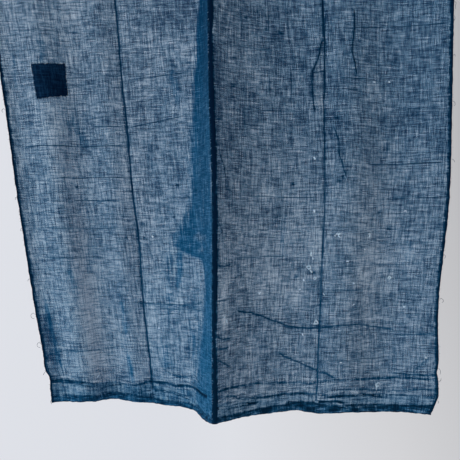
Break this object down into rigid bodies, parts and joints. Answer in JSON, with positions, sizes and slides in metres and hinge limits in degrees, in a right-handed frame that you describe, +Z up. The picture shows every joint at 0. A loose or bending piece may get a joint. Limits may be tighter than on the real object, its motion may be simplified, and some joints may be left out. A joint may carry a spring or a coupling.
{
  "type": "boro patched cloth",
  "caption": "Sheer hanging cloth of joined loom widths that folds forward at its seam, with a puckered hem at its foot and a sewn-on patch.",
  "frame": {"origin": "top end of the middle seam, on the cloth's top edge", "axes": "+Z up along the seam, +X across the cloth to the right as its front is looked at, the front facing -Y"},
  "size_m": [0.6531, 0.1452, 0.8021],
  "materials": {
    "indigo_cloth_left": "sheer, slubby plain weave in uneven indigo, semi-transparent",
    "indigo_cloth_right": "sheer, slubby plain weave in uneven, slightly greyer indigo, semi-transparent",
    "navy_patch": "dense, dark navy plain weave, opaque"
  },
  "bodies": {
    "root": {"panel_left": "indigo_cloth_left", "panel_right": "indigo_cloth_right", "patch": "navy_patch"}
  },
  "joints": []
}
